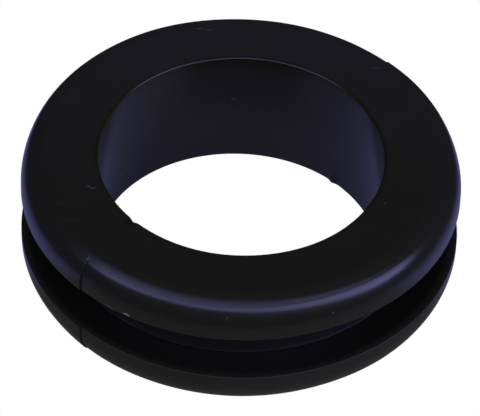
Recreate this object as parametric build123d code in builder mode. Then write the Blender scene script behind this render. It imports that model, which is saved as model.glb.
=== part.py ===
from build123d import *
import math
import os

# ---------------------------------------------------------------------------
# Drain pipe seal ring: a one-piece moulded rubber grommet with two equal
# flanges, a groove between them for the edge of a panel, and a straight bore
# that grips a 32 mm drain pipe.
#
# Frame: +Z up along the ring's axis, origin at the centre of the bottom face.
# All lengths are in millimetres.
# ---------------------------------------------------------------------------

# Overall size
flange_diameter = 48.0      # outside diameter of both flanges
ring_height = 14.8          # bottom face to top face

# Section
bore_diameter = 31.2        # grips a 32 mm pipe with a light interference
flange_thickness = 4.55     # each flange, measured at its wall
groove_diameter = 40.0      # root of the groove: seats in a 40 mm hole
bore_rim_radius = 0.5       # the bore's two rims
groove_lip_radius = 0.15    # the flanges' edges beside the groove
groove_root_radius = 0.2    # corners at the root of the groove

# Outer edge of each flange: a crown that rolls off the flat face, a crisp line
# where it stops, and a brow that rolls on from there into the wall. Turns are
# the angle of the surface off the flat face, in degrees.
crown_radius = 2.9
crown_turn = 44.0           # the crown stops here
brow_turn = 54.0            # the brow starts here and ends upright, at 90

# Mould seam: the two mould halves meet in a plane through the axis, and leave
# a low rib up each flange's wall on both sides of the ring.
seam_angle = 226.3          # degrees from +X, anticlockwise seen from above
seam_rib_height = 0.08      # how far the rib stands out from the wall
seam_rib_width = 0.24       # along the wall
seam_rib_gap = 0.35         # the rib starts this far from the groove's lip
seam_rib_wrap = 30.0        # degrees it follows the brow


def sin_d(turn):
    return math.sin(math.radians(turn))


def cos_d(turn):
    return math.cos(math.radians(turn))


# Derived
flange_r = flange_diameter / 2
bore_r = bore_diameter / 2
groove_r = groove_diameter / 2
groove_low = flange_thickness                 # lower side of the groove
groove_high = ring_height - flange_thickness  # upper side of the groove
crown_centre_r = flange_r - crown_radius      # the flat face ends here
brow_radius = crown_radius * (1 - sin_d(crown_turn)) / (1 - sin_d(brow_turn))
brow_centre_r = flange_r - brow_radius
brow_depth = crown_radius * (1 - cos_d(crown_turn)) + brow_radius * cos_d(brow_turn)  # face to upright wall


def crown_point(turn, face, way):
    """A point of the crown; face is the flat face's z, way is 1 up or -1 down."""
    return (crown_centre_r + crown_radius * sin_d(turn), face + way * crown_radius * (cos_d(turn) - 1))


def brow_point(turn, face, way):
    return (brow_centre_r + brow_radius * sin_d(turn), face + way * (brow_radius * cos_d(turn) - brow_depth))


os.makedirs("parts", exist_ok=True)

with BuildPart() as seal_ring:
    # Half section of the ring, turned once about its axis
    with BuildSketch(Plane.XZ) as section:
        with BuildLine():
            Line((bore_r, 0), (crown_centre_r, 0))
            ThreePointArc(
                (crown_centre_r, 0),
                crown_point(crown_turn / 2, 0, -1),
                crown_point(crown_turn, 0, -1),
            )
            ThreePointArc(
                crown_point(crown_turn, 0, -1),
                brow_point((brow_turn + 90) / 2, 0, -1),
                (flange_r, brow_depth),
            )
            Polyline(
                (flange_r, brow_depth),
                (flange_r, groove_low),
                (groove_r, groove_low),
                (groove_r, groove_high),
                (flange_r, groove_high),
                (flange_r, ring_height - brow_depth),
            )
            ThreePointArc(
                (flange_r, ring_height - brow_depth),
                brow_point((brow_turn + 90) / 2, ring_height, 1),
                crown_point(crown_turn, ring_height, 1),
            )
            ThreePointArc(
                crown_point(crown_turn, ring_height, 1),
                crown_point(crown_turn / 2, ring_height, 1),
                (crown_centre_r, ring_height),
            )
            Polyline(
                (crown_centre_r, ring_height),
                (bore_r, ring_height),
                (bore_r, 0),
            )
        make_face()
        corners = section.vertices()
        # rounded rims of the bore
        fillet(
            corners.filter_by(lambda v: v.X < bore_r + 0.01),
            radius=bore_rim_radius,
        )
        corners = section.vertices()
        # the flanges' edges where they look onto the groove
        fillet(
            corners.filter_by(
                lambda v: v.X > flange_r - 0.01
                and (abs(v.Y - groove_low) < 0.01 or abs(v.Y - groove_high) < 0.01)
            ),
            radius=groove_lip_radius,
        )
        corners = section.vertices()
        # corners at the root of the groove
        fillet(
            corners.filter_by(lambda v: abs(v.X - groove_r) < 0.01),
            radius=groove_root_radius,
        )
    revolve(axis=Axis.Z, revolution_arc=360)

    # Seam ribs: one stands up each flange's wall and on round its brow,
    # concentric with it, and stops short of the crisp line. They are made on
    # both sides of the ring, in the plane where the moulds meet.
    for turn in (seam_angle, seam_angle - 180):
        seam_plane = Plane(
            origin=(0, 0, 0),
            x_dir=(cos_d(turn), sin_d(turn), 0),
            z_dir=(sin_d(turn), -cos_d(turn), 0),
        )
        for lip, upright, way in (
            (groove_high, ring_height - brow_depth, 1),
            (groove_low, brow_depth, -1),
        ):
            start = lip + way * seam_rib_gap
            rib_r = brow_radius + seam_rib_height
            middle = seam_rib_wrap / 2
            with BuildSketch(seam_plane) as rib:
                with BuildLine():
                    Polyline(
                        (brow_centre_r, start),
                        (brow_centre_r + rib_r, start),
                        (brow_centre_r + rib_r, upright),
                    )
                    ThreePointArc(
                        (brow_centre_r + rib_r, upright),
                        (brow_centre_r + rib_r * cos_d(middle), upright + way * rib_r * sin_d(middle)),
                        (brow_centre_r + rib_r * cos_d(seam_rib_wrap), upright + way * rib_r * sin_d(seam_rib_wrap)),
                    )
                    Polyline(
                        (brow_centre_r + rib_r * cos_d(seam_rib_wrap), upright + way * rib_r * sin_d(seam_rib_wrap)),
                        (brow_centre_r, upright),
                        (brow_centre_r, start),
                    )
                make_face()
            extrude(amount=seam_rib_width / 2, both=True)

seal_ring.part.label = "seal_ring"
export_step(seal_ring.part, "parts/seal_ring.step")

box = seal_ring.part.bounding_box()
print("solids", len(seal_ring.part.solids()), "valid", seal_ring.part.is_valid)
print("volume mm3", round(seal_ring.part.volume, 1))
print("box", box.min, box.max)
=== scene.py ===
import math

import bpy
import numpy as np
from mathutils import Matrix, Vector


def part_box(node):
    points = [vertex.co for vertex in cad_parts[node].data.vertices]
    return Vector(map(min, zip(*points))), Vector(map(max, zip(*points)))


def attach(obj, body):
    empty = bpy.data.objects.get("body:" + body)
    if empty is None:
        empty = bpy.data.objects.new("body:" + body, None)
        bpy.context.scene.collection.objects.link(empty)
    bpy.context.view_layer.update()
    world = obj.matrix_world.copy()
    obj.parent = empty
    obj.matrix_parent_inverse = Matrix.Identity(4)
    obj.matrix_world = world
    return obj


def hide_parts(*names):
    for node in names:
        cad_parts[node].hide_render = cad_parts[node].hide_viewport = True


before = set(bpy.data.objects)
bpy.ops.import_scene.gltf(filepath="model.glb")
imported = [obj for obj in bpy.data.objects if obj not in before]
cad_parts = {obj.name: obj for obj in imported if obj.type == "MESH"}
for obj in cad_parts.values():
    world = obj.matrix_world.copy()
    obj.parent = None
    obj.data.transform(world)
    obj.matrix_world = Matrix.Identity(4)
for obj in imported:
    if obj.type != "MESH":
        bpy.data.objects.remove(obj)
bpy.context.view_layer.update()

# ---------------------------------------------------------------------------
# Sizes, in metres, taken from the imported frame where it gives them
# ---------------------------------------------------------------------------
lo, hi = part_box("seal_ring")
H = hi.z - lo.z                   # ring height
R = (hi.x - lo.x) / 2             # flange radius
MM = 0.001
BORE = 15.6 * MM                  # bore radius
ROOT = 20.0 * MM                  # groove root radius
FL = 4.55 * MM                    # flange thickness at the wall
CROWN = 2.9 * MM                  # crown of the outer edges
TURN_A, TURN_B = 44.0, 54.0       # the crown stops and the brow starts, off the flat
BROW = CROWN * (1 - math.sin(math.radians(TURN_A))) / (1 - math.sin(math.radians(TURN_B)))
DEPTH = CROWN * (1 - math.cos(math.radians(TURN_A))) + BROW * math.cos(math.radians(TURN_B))
CREASE = 0.16 * MM                # softness of the crisp line between them
RI = 0.26 * MM                    # rounding of the bore's rims
RL = 0.05 * MM                    # the groove's lips
RG = 0.03 * MM                    # corners at the groove's root
SEAM = math.radians(226.3)        # mould seam, and its partner opposite
ELEV = 0.752643                   # the camera's elevation, radians


# ---------------------------------------------------------------------------
# Camera: the photograph's angle, about 44 cm away with a long lens
# ---------------------------------------------------------------------------
def make_camera():
    s, pz, e, roll, cx, cy = 220.685 / R, 0.0543200, ELEV, 0.0383961, 241.2941, 153.6736
    dist = R / pz
    f_px = s * dist
    b = np.array([0.0, -math.cos(e), math.sin(e)])       # towards the camera
    r = np.array([1.0, 0.0, 0.0])
    u = np.cross(b, r)
    c, sn = math.cos(roll), math.sin(roll)
    right = c * r + sn * u
    up = -sn * r + c * u
    # turn the camera so that its axis meets the middle of the frame
    axis = (240.0 - cx) / f_px * right - (208.0 - cy) / f_px * up - b
    axis /= np.linalg.norm(axis)
    back = -axis
    right = np.cross(up, back)
    right /= np.linalg.norm(right)
    up = np.cross(back, right)
    place = np.array([0.0, 0.0, H]) + b * dist
    cam = bpy.data.cameras.new("camera")
    cam.sensor_width = 36.0
    cam.lens = f_px * 36.0 / 480.0
    cam.clip_start, cam.clip_end = 0.01, 20.0
    ob = bpy.data.objects.new("camera", cam)
    m = Matrix.Identity(4)
    for i in range(3):
        m[i][0], m[i][1], m[i][2], m[i][3] = right[i], up[i], back[i], place[i]
    ob.matrix_world = m
    bpy.context.scene.collection.objects.link(ob)
    bpy.context.scene.camera = ob


make_camera()


# ---------------------------------------------------------------------------
# The ring: one closed mesh swept round the axis, with the seam's step, the
# flash on the bore's lower rim and the slight waviness of soft rubber
# ---------------------------------------------------------------------------
def profile():
    """The half section, as r and z in metres, once round, from the bottom face's inner end."""
    pts = []

    def line(a, b_, n):
        for i in range(n):
            t = i / n
            pts.append((a[0] + (b_[0] - a[0]) * t, a[1] + (b_[1] - a[1]) * t))

    def arc(c, rad, a0, a1, n):
        for i in range(n):
            a = math.radians(a0 + (a1 - a0) * i / n)
            pts.append((c[0] + rad * math.cos(a), c[1] + rad * math.sin(a)))

    def edge(face, way):
        """Crown, crisp line and brow of one flange, from the flat face to the wall."""
        out = []
        for k in range(12):
            a = math.radians(TURN_A * k / 12)
            out.append((R - CROWN + CROWN * math.sin(a), face - way * CROWN * (1 - math.cos(a))))
        a0, a1 = math.radians(TURN_A), math.radians(TURN_B)
        px, pz_ = R - CROWN + CROWN * math.sin(a0), face - way * CROWN * (1 - math.cos(a0))
        for t in (-1.0, -0.6, -0.2, 0.2, 0.6, 1.0):
            # cut the corner of the crisp line by a hair
            back_, on = min(t, 0.0), max(t, 0.0)
            dx = CREASE * (back_ * math.cos(a0) + on * math.cos(a1))
            dz = -CREASE * (back_ * math.sin(a0) + on * math.sin(a1))
            sag = -0.044 * CREASE * (1 - t * t)
            out.append((px + dx + sag * math.sin((a0 + a1) / 2), pz_ + way * (dz + sag * math.cos((a0 + a1) / 2))))
        for k in range(1, 14):
            a = math.radians(TURN_B + 3 + (90 - TURN_B - 3) * k / 14)
            out.append((R - BROW + BROW * math.sin(a), face - way * (DEPTH - BROW * math.cos(a))))
        return out

    line((BORE + RI, 0), (R - CROWN, 0), 10)
    pts.extend(edge(0.0, -1))
    line((R, DEPTH), (R, FL - RL), 4)
    arc((R - RL, FL - RL), RL, 0, 90, 3)
    line((R - RL, FL), (ROOT + RG, FL), 8)
    arc((ROOT + RG, FL + RG), RG, -90, -180, 3)
    line((ROOT, FL + RG), (ROOT, H - FL - RG), 8)
    arc((ROOT + RG, H - FL - RG), RG, 180, 90, 3)
    line((ROOT + RG, H - FL), (R - RL, H - FL), 8)
    arc((R - RL, H - FL + RL), RL, -90, 0, 3)
    line((R, H - FL + RL), (R, H - DEPTH), 4)
    pts.extend([(R, H - DEPTH)] + edge(H, 1)[::-1])
    pts.pop()
    line((R - CROWN, H), (BORE + RI, H), 12)
    arc((BORE + RI, H - RI), RI, 90, 180, 8)
    line((BORE, H - RI), (BORE, RI), 14)
    arc((BORE + RI, RI), RI, 180, 270, 8)
    return np.array(pts)


def azimuths():
    """Angles round the ring, closer together at the seams and at the flash."""
    fine = [(SEAM, 1.6, 0.10), (SEAM - math.pi, 1.6, 0.10), (math.radians(48.1), 3.0, 0.3)]
    dens = np.full(7200, 1.0 / 0.80)
    deg = np.arange(7200) * 0.05
    for c, half, step in fine:
        d = np.abs((deg - math.degrees(c) + 180) % 360 - 180)
        dens = np.maximum(dens, (1.0 / step) * (d < half) + (d >= half) * np.maximum(0, 1.0 / step * (1 - (d - half) / 1.5)))
    cum = np.concatenate([[0], np.cumsum(dens) * 0.05])
    n = int(round(cum[-1]))
    return np.radians(np.interp(np.arange(n) * cum[-1] / n, cum, np.arange(7201) * 0.05))


def smooth(a, b_, x):
    t = np.clip((x - a) / (b_ - a), 0, 1)
    return t * t * (3 - 2 * t)


def turn(deg):
    """The signed angle from deg, in degrees, at every column."""
    return (np.degrees(TH) - deg + 180) % 360 - 180


prof = profile()
TH = azimuths()
NP, NA = len(prof), len(TH)
r0 = np.repeat(prof[:, 0][None, :], NA, 0)
z0 = np.repeat(prof[:, 1][None, :], NA, 0)
th = np.repeat(TH[:, None], NP, 1)

# how much a point belongs to the outer walls, which the mould's halves form
outer = smooth(R - 2.6 * MM, R - 0.3 * MM, r0)
wall = smooth(R - 0.93 * MM, R - 0.80 * MM, r0)
rr = r0.copy()
zz = z0.copy()
# the half of the mould in front of the seam sits a little off the other half
half_b = (turn(math.degrees(SEAM)) > 0)[:, None]
shift = 0.14 * MM
near = np.cos(th - SEAM)
rr -= np.where(half_b, shift * near, 0.0) * smooth(R - 1.7 * MM, R - 0.8 * MM, r0)
# soft rubber's waviness
rr += outer * MM * (0.05 * np.cos(3 * th + 0.4) + 0.03 * np.cos(5 * th + 2.0) + 0.02 * np.cos(9 * th + 1.0))
topness = smooth(H - 3 * MM, H, z0)
zz -= topness * MM * (0.02 + 0.02 * np.cos(2 * th + 1.1) + 0.012 * np.cos(7 * th))
# the seam's fine rib
for c in (math.degrees(SEAM), math.degrees(SEAM) - 180):
    d = turn(c)[:, None] * math.pi / 180 * R / MM         # along the wall, in mm
    rr += wall * MM * 0.014 * np.exp(-((d + 0.11) / 0.10) ** 2)
    rr -= wall * MM * 0.045 * np.exp(-((d - 0.06) / 0.08) ** 2)

def spot(deg, wide, low, high):
    """A bump round the ring at deg, wide degrees, for points with r and z near (low, high)."""
    d = turn(deg)[:, None] / wide
    near_ = np.exp(-((r0 - low * MM) / (0.5 * MM)) ** 2 - ((z0 - high * MM) / (0.5 * MM)) ** 2)
    return np.exp(-d ** 2) * near_


rr -= MM * 0.22 * spot(48.1, 1.6, 15.6, 0.25)      # flash on the bore's lower rim
rr += MM * 0.16 * spot(224.5, 1.5, 15.6, 14.6)     # nick in the bore's upper rim
zz -= MM * 0.10 * spot(224.5, 1.6, 15.8, 14.8)

x = rr * np.cos(th)
y = rr * np.sin(th)
verts = np.stack([x, y, zz], -1).reshape(-1, 3)
i = np.arange(NA)[:, None]
j = np.arange(NP)[None, :]
i2, j2 = (i + 1) % NA, (j + 1) % NP
quads = np.stack([i * NP + j, i2 * NP + j, i2 * NP + j2, i * NP + j2], -1).reshape(-1, 4)

mesh = bpy.data.meshes.new("rubber_ring")
mesh.vertices.add(len(verts))
mesh.vertices.foreach_set("co", verts.astype(np.float32).ravel())
mesh.loops.add(quads.size)
mesh.loops.foreach_set("vertex_index", quads.astype(np.int32).ravel())
mesh.polygons.add(len(quads))
mesh.polygons.foreach_set("loop_start", (np.arange(len(quads)) * 4).astype(np.int32))
mesh.polygons.foreach_set("loop_total", np.full(len(quads), 4, np.int32))
mesh.update(calc_edges=True)
mesh.validate()
mesh.polygons.foreach_set("use_smooth", np.ones(len(quads), bool))
ring = bpy.data.objects.new("rubber_ring", mesh)
bpy.context.scene.collection.objects.link(ring)


# ---------------------------------------------------------------------------
# Rubber
# ---------------------------------------------------------------------------
def rubber():
    mat = bpy.data.materials.new("black_rubber")
    mat.use_nodes = True
    nt = mat.node_tree
    nt.nodes.clear()
    N = nt.nodes.new
    L = nt.links.new

    out = N("ShaderNodeOutputMaterial")
    bsdf = N("ShaderNodeBsdfPrincipled")
    L(bsdf.outputs["BSDF"], out.inputs["Surface"])
    bsdf.inputs["Specular IOR Level"].default_value = 0.50

    tc = N("ShaderNodeTexCoord")

    def noise(scale, detail=2.0, rough=0.5, dist=0.0):
        n = N("ShaderNodeTexNoise")
        n.inputs["Scale"].default_value = scale
        n.inputs["Detail"].default_value = detail
        n.inputs["Roughness"].default_value = rough
        n.inputs["Distortion"].default_value = dist
        L(tc.outputs["Object"], n.inputs["Vector"])
        return n.outputs["Fac"]

    def ramp(fac, stops):
        rp = N("ShaderNodeValToRGB")
        L(fac, rp.inputs["Fac"])
        el = rp.color_ramp.elements
        el[0].position, el[0].color = stops[0][0], stops[0][1]
        el[1].position, el[1].color = stops[-1][0], stops[-1][1]
        for p, c in stops[1:-1]:
            k = el.new(p)
            k.color = c
        return rp.outputs["Color"]

    def math_node(op, a, b_=None, clamp=False):
        m = N("ShaderNodeMath")
        m.operation = op
        m.use_clamp = clamp
        for k, v in ((0, a), (1, b_)):
            if v is None:
                continue
            if isinstance(v, (int, float)):
                m.inputs[k].default_value = v
            else:
                L(v, m.inputs[k])
        return m.outputs[0]

    # cloudy bloom over the black, and a painted sheen that makes it lighter towards the back of the ring
    cloud = noise(150.0, 3.0, 0.55, 0.3)
    sep = N("ShaderNodeSeparateXYZ")
    L(tc.outputs["Object"], sep.inputs[0])
    # painted sheen: the base colour grows lighter towards the back of the ring
    behind = math_node("ADD", math_node("MULTIPLY", sep.outputs[1], 1.0 / (2 * R)), 0.5, True)
    bloom_and_back_sheen = math_node("ADD", math_node("MULTIPLY", cloud, 0.55), math_node("MULTIPLY", behind, 0.60))
    base = ramp(bloom_and_back_sheen, [(0.20, (0.0185, 0.0183, 0.0086, 1)), (0.55, (0.0208, 0.0201, 0.0104, 1)), (0.90, (0.0300, 0.0270, 0.0185, 1))])

    # small marks: light flecks, scratches and scuffs, and painted shade in one nick, each
    # an ellipsoid given by its middle and half sizes in millimetres
    def inside(mid, half, soft=0.45):
        sub = N("ShaderNodeVectorMath")
        sub.operation = "SUBTRACT"
        L(tc.outputs["Object"], sub.inputs[0])
        sub.inputs[1].default_value = [v * MM for v in mid]
        div = N("ShaderNodeVectorMath")
        div.operation = "DIVIDE"
        L(sub.outputs[0], div.inputs[0])
        div.inputs[1].default_value = [v * MM for v in half]
        ln = N("ShaderNodeVectorMath")
        ln.operation = "LENGTH"
        L(div.outputs[0], ln.inputs[0])
        mr = N("ShaderNodeMapRange")
        mr.interpolation_type = "SMOOTHSTEP"
        mr.inputs["From Min"].default_value = 1.0
        mr.inputs["From Max"].default_value = soft
        L(ln.outputs["Value"], mr.inputs["Value"])
        return mr.outputs[0]

    marks = 0.0
    for mid, half, much in (
        ((-5.29, 20.30, 14.8), (0.42, 0.13, 0.6), 0.20),      # two short dashes, back of the top face
        ((-4.16, 20.11, 14.8), (0.45, 0.12, 0.6), 0.16),
        ((9.68, 19.39, 14.8), (0.40, 0.22, 0.6), 0.07),
        ((14.63, 14.80, 14.8), (0.75, 0.16, 0.6), 0.09),
        ((15.64, -6.88, 14.8), (0.20, 0.16, 0.6), 0.14),      # speck by the bore's right rim
        ((-16.30, -6.05, 14.8), (0.32, 0.15, 0.6), 0.22),     # scratch by the bore's left rim
        ((-15.80, -6.30, 14.8), (0.45, 0.12, 0.6), 0.26),
        ((-19.21, -8.82, 14.8), (0.60, 0.45, 0.6), 0.014),    # faint scuffs on the left
        ((-17.67, -11.36, 14.8), (0.80, 0.40, 0.6), 0.016),
        ((-11.26, 10.33, 14.6), (0.30, 0.28, 0.7), 0.16),     # fleck on the bore's rim
        ((-1.17, 15.56, 8.61), (0.40, 0.6, 0.18), 0.10),      # specks in the bore
        ((-13.28, 8.18, 3.16), (0.30, 0.5, 0.20), 0.16),
        ((-0.82, -23.99, 13.2), (0.20, 0.8, 0.20), 0.34),     # specks on the outer wall
        ((10.30, -21.68, 12.36), (0.22, 0.8, 0.20), 0.22),
        ((-11.52, -21.05, 10.50), (0.52, 0.8, 0.20), 0.75),   # flash left on the upper flange's lip
        ((-13.48, -19.85, 10.40), (0.90, 1.0, 0.24), 0.17),
    ):
        marks = math_node("ADD", marks, math_node("MULTIPLY", inside(mid, half), much))
    # painted shade in the nick on the bore's upper rim
    nick_shade = inside((-11.48, -11.32, 14.7), (0.85, 0.50, 0.8))
    # painted shade: the groove darker (it is also rougher), and the seam line darker as well as duller
    rad = math_node("SQRT", math_node("ADD", math_node("MULTIPLY", sep.outputs[0], sep.outputs[0]), math_node("MULTIPLY", sep.outputs[1], sep.outputs[1])))

    def band(v, a, b_, lo_=0.0, hi_=1.0):
        mr = N("ShaderNodeMapRange")
        mr.interpolation_type = "SMOOTHSTEP"
        mr.inputs["From Min"].default_value = a
        mr.inputs["From Max"].default_value = b_
        mr.inputs["To Min"].default_value = lo_
        mr.inputs["To Max"].default_value = hi_
        L(v, mr.inputs["Value"])
        return mr.outputs[0]

    off_mid = math_node("ABSOLUTE", math_node("SUBTRACT", sep.outputs[2], H / 2))
    in_groove = math_node(
        "MULTIPLY",
        band(off_mid, H / 2 - FL + 0.10 * MM, H / 2 - FL + 0.02 * MM),
        math_node("MULTIPLY", band(rad, 18.0 * MM, 19.0 * MM), band(rad, R - 0.2 * MM, R - 1.2 * MM)),
    )
    across = math_node("ABSOLUTE", math_node("ADD", math_node("MULTIPLY", sep.outputs[0], -math.sin(SEAM)), math_node("MULTIPLY", sep.outputs[1], math.cos(SEAM))))
    on_seam = math_node("MULTIPLY", band(across, 0.17 * MM, 0.06 * MM), band(rad, R - 1.0 * MM, R - 0.8 * MM))
    # painted shade in the groove and along the seam line
    painted_shade_factor = math_node("MULTIPLY", math_node("SUBTRACT", 1.0, math_node("MULTIPLY", in_groove, 0.62)), math_node("SUBTRACT", 1.0, math_node("MULTIPLY", on_seam, 0.70)))
    painted_shade_factor = math_node("MULTIPLY", painted_shade_factor, math_node("SUBTRACT", 1.0, math_node("MULTIPLY", nick_shade, 0.45)))
    # painted shade: the bore's wall darker than the faces
    painted_shade_factor = math_node("MULTIPLY", painted_shade_factor, band(rad, 15.7 * MM, 16.1 * MM, 0.78, 1.06))
    # painted shade: darker on the bore's wall, high up at the back
    bore_back_shade = math_node("MULTIPLY", band(rad, 16.1 * MM, 15.7 * MM), math_node("MULTIPLY", band(sep.outputs[2], 4.0 * MM, 10.0 * MM), band(sep.outputs[1], 13.0 * MM, 15.2 * MM)))
    painted_shade_factor = math_node("MULTIPLY", painted_shade_factor, math_node("SUBTRACT", 1.0, math_node("MULTIPLY", bore_back_shade, 0.50)))
    # the base colour with the painted shade of the recesses, seam and nick
    base_with_painted_shade = N("ShaderNodeVectorMath")
    base_with_painted_shade.operation = "SCALE"
    # painted shade: the bore and the groove are less blue than the faces
    recess_shade_tint = N("ShaderNodeCombineXYZ")
    recess_shade_tint.inputs[0].default_value = 1.0
    recess_shade_tint.inputs[1].default_value = 1.0
    L(math_node("MULTIPLY", band(rad, 15.7 * MM, 16.1 * MM, 0.20, 1.0), math_node("SUBTRACT", 1.0, math_node("MULTIPLY", in_groove, 0.30))), recess_shade_tint.inputs[2])
    tint = N("ShaderNodeVectorMath")
    tint.operation = "MULTIPLY"
    L(base, tint.inputs[0])
    L(recess_shade_tint.outputs[0], tint.inputs[1])
    L(tint.outputs[0], base_with_painted_shade.inputs[0])
    L(painted_shade_factor, base_with_painted_shade.inputs["Scale"])
    pale = N("ShaderNodeVectorMath")
    pale.operation = "SCALE"
    pale.inputs[0].default_value = (0.30, 0.30, 0.22)
    L(marks, pale.inputs["Scale"])
    both = N("ShaderNodeVectorMath")
    both.operation = "ADD"
    L(base_with_painted_shade.outputs[0], both.inputs[0])
    L(pale.outputs[0], both.inputs[1])
    L(both.outputs[0], bsdf.inputs["Base Color"])

    # roughness
    rn = noise(420.0, 3.0, 0.6)
    rough = math_node("ADD", math_node("MULTIPLY", rn, 0.08), 0.17)
    rough = math_node("ADD", rough, math_node("SUBTRACT", math_node("MULTIPLY", on_seam, 0.30), math_node("MULTIPLY", in_groove, -0.12)))
    L(rough, bsdf.inputs["Roughness"])

    # fine grain of the moulded skin
    grain = noise(5200.0, 2.0, 0.6)
    soft = noise(900.0, 2.0, 0.5)
    height = math_node("ADD", math_node("MULTIPLY", grain, 0.35), math_node("MULTIPLY", soft, 0.65))
    bump = N("ShaderNodeBump")
    bump.inputs["Strength"].default_value = 0.12
    bump.inputs["Distance"].default_value = 0.00006
    L(height, bump.inputs["Height"])
    L(bump.outputs["Normal"], bsdf.inputs["Normal"])
    return mat


mesh.materials.append(rubber())
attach(ring, "root")
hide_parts("seal_ring")


# ---------------------------------------------------------------------------
# Stage: a pale floor, shown white, and one softbox overhead and to the front
# ---------------------------------------------------------------------------
def make_floor():
    me = bpy.data.meshes.new("floor")
    w = 3.0
    me.from_pydata([(-w, -w, 0), (w, -w, 0), (w, w, 0), (-w, w, 0)], [], [(0, 1, 2, 3)])
    ob = bpy.data.objects.new("floor", me)
    ob.location.z = -0.00002
    bpy.context.scene.collection.objects.link(ob)
    mat = bpy.data.materials.new("pale_floor")
    mat.use_nodes = True
    nt = mat.node_tree
    nt.nodes.clear()
    out = nt.nodes.new("ShaderNodeOutputMaterial")
    dif = nt.nodes.new("ShaderNodeBsdfDiffuse")
    # neutral in front of the ring, cooler inside it, behind it and beside it
    geo = nt.nodes.new("ShaderNodeNewGeometry")
    sep = nt.nodes.new("ShaderNodeSeparateXYZ")
    nt.links.new(geo.outputs["Position"], sep.inputs[0])
    far = nt.nodes.new("ShaderNodeMapRange")
    far.interpolation_type = "SMOOTHSTEP"
    far.inputs["From Min"].default_value = -0.006
    far.inputs["From Max"].default_value = 0.009
    ax = nt.nodes.new("ShaderNodeMath")
    ax.operation = "ABSOLUTE"
    nt.links.new(sep.outputs[0], ax.inputs[0])
    past = nt.nodes.new("ShaderNodeMath")
    past.operation = "SUBTRACT"
    past.inputs[1].default_value = 0.020
    nt.links.new(ax.outputs[0], past.inputs[0])
    only = nt.nodes.new("ShaderNodeMath")
    only.operation = "MAXIMUM"
    only.inputs[1].default_value = 0.0
    nt.links.new(past.outputs[0], only.inputs[0])
    sides = nt.nodes.new("ShaderNodeMath")
    sides.operation = "MULTIPLY_ADD"
    sides.inputs[1].default_value = 1.5
    nt.links.new(only.outputs[0], sides.inputs[0])
    nt.links.new(sep.outputs[1], sides.inputs[2])
    nt.links.new(sides.outputs[0], far.inputs["Value"])
    rp = nt.nodes.new("ShaderNodeValToRGB")
    rp.color_ramp.elements[0].color = (0.38, 0.36, 0.18, 1)
    rp.color_ramp.elements[1].color = (0.68, 0.68, 0.76, 1)
    nt.links.new(far.outputs[0], rp.inputs["Fac"])
    # a pool of light round the ring, and a dim floor beyond it
    flat = nt.nodes.new("ShaderNodeVectorMath")
    flat.operation = "MULTIPLY"
    flat.inputs[1].default_value = (1.0, 1.0, 0.0)
    nt.links.new(geo.outputs["Position"], flat.inputs[0])
    away = nt.nodes.new("ShaderNodeVectorMath")
    away.operation = "LENGTH"
    nt.links.new(flat.outputs[0], away.inputs[0])
    pool = nt.nodes.new("ShaderNodeMapRange")
    pool.interpolation_type = "SMOOTHSTEP"
    pool.inputs["From Min"].default_value = 0.035
    pool.inputs["From Max"].default_value = 0.058
    pool.inputs["To Min"].default_value = 1.0
    pool.inputs["To Max"].default_value = 0.10
    nt.links.new(away.outputs["Value"], pool.inputs["Value"])
    dim = nt.nodes.new("ShaderNodeVectorMath")
    dim.operation = "SCALE"
    nt.links.new(rp.outputs["Color"], dim.inputs[0])
    nt.links.new(pool.outputs[0], dim.inputs["Scale"])
    nt.links.new(dim.outputs[0], dif.inputs["Color"])
    emi = nt.nodes.new("ShaderNodeEmission")
    emi.inputs["Color"].default_value = (1, 1, 1, 1)
    emi.inputs["Strength"].default_value = 1.0
    mix = nt.nodes.new("ShaderNodeMixShader")
    lp = nt.nodes.new("ShaderNodeLightPath")
    nt.links.new(lp.outputs["Is Camera Ray"], mix.inputs[0])
    nt.links.new(dif.outputs[0], mix.inputs[1])
    nt.links.new(emi.outputs[0], mix.inputs[2])
    # seen from below, the floor lets the ring's underside be looked at
    under = nt.nodes.new("ShaderNodeMixShader")
    clear = nt.nodes.new("ShaderNodeBsdfTransparent")
    nt.links.new(geo.outputs["Backfacing"], under.inputs[0])
    nt.links.new(mix.outputs[0], under.inputs[1])
    nt.links.new(clear.outputs[0], under.inputs[2])
    nt.links.new(under.outputs[0], out.inputs["Surface"])
    me.materials.append(mat)


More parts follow.
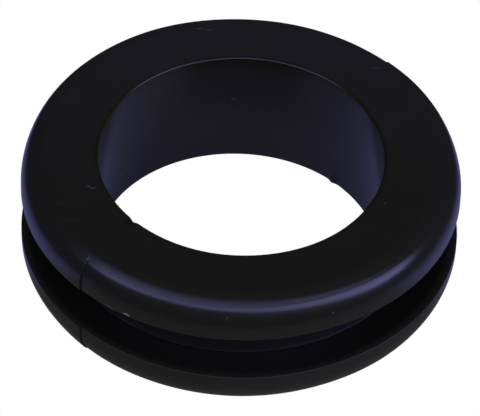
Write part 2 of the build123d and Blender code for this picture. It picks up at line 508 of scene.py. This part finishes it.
def make_world():
    world = bpy.data.worlds.new("studio")
    bpy.context.scene.world = world
    world.use_nodes = True
    nt = world.node_tree
    nt.nodes.clear()
    N, L = nt.nodes.new, nt.links.new
    out = N("ShaderNodeOutputWorld")
    tc = N("ShaderNodeTexCoord")
    sep = N("ShaderNodeSeparateXYZ")
    L(tc.outputs["Generated"], sep.inputs[0])
    X, Y, Z = sep.outputs

    def step(v, a, b_, lo_=0.0, hi_=1.0):
        m = N("ShaderNodeMapRange")
        m.interpolation_type = "SMOOTHSTEP"
        m.inputs["From Min"].default_value = a
        m.inputs["From Max"].default_value = b_
        m.inputs["To Min"].default_value = lo_
        m.inputs["To Max"].default_value = hi_
        L(v, m.inputs["Value"])
        return m.outputs[0]

    def op(kind, a, b_):
        m = N("ShaderNodeMath")
        m.operation = kind
        for k, v in ((0, a), (1, b_)):
            if isinstance(v, (int, float)):
                m.inputs[k].default_value = v
            else:
                L(v, m.inputs[k])
        return m.outputs[0]

    # One broad softbox overhead and to the front. Its outline is given by the
    # tilt of a surface that would mirror it to the front at the ring's angle.
    hx = X
    hy = op("SUBTRACT", Y, math.cos(ELEV))
    hz = op("ADD", Z, math.sin(ELEV))
    flat2 = op("ADD", op("MULTIPLY", hx, hx), op("MULTIPLY", hy, hy))
    size = op("SQRT", op("ADD", flat2, op("MULTIPLY", hz, hz)), 0.0)
    tilt = op("DIVIDE", hz, size)                       # cosine of the tilt
    flat = op("MAXIMUM", op("SQRT", flat2, 0.0), 0.0001)
    ahead = op("DIVIDE", op("MULTIPLY", hy, -1.0), flat)
    aside = op("DIVIDE", hx, flat)
    tilt = op("ADD", tilt, op("MULTIPLY", op("MAXIMUM", aside, 0.0), 0.18))
    low = step(tilt, 0.525, 0.575)
    fade = op("MULTIPLY", step(tilt, 0.62, 0.86, 1.0, 0.30), step(tilt, 0.87, 0.93, 1.0, 0.0))
    front = step(op("ADD", ahead, op("MULTIPLY", op("MAXIMUM", aside, 0.0), 0.16)), 0.69, 0.80)
    side = step(aside, -0.60, 0.50, 0.90, 1.30)
    side = op("MULTIPLY", side, op("ADD", op("MULTIPLY", aside, aside), 0.80))
    box_ = op("MULTIPLY", op("MULTIPLY", low, fade), op("MULTIPLY", front, side))
    up = step(Z, 0.0, 0.04)
    key = N("ShaderNodeBackground")
    key.inputs["Color"].default_value = (1.0, 1.0, 2.3, 1)
    L(op("MULTIPLY", op("MULTIPLY", box_, up), 1.20), key.inputs["Strength"])
    fill = N("ShaderNodeBackground")
    fill.inputs["Color"].default_value = (1.0, 1.0, 1.0, 1)
    fill.inputs["Strength"].default_value = 0.03
    add = N("ShaderNodeAddShader")
    L(key.outputs[0], add.inputs[0])
    L(fill.outputs[0], add.inputs[1])
    white = N("ShaderNodeBackground")
    white.inputs["Color"].default_value = (1, 1, 1, 1)
    white.inputs["Strength"].default_value = 1.0
    mix = N("ShaderNodeMixShader")
    lp = N("ShaderNodeLightPath")
    L(lp.outputs["Is Camera Ray"], mix.inputs[0])
    L(add.outputs[0], mix.inputs[1])
    L(white.outputs[0], mix.inputs[2])
    L(mix.outputs[0], out.inputs["Surface"])


make_floor()
make_world()
view = bpy.context.scene.view_settings
view.view_transform = "Standard"
view.look = "None"
view.exposure = 0.0
view.gamma = 1.0

bpy.context.view_layer.update()
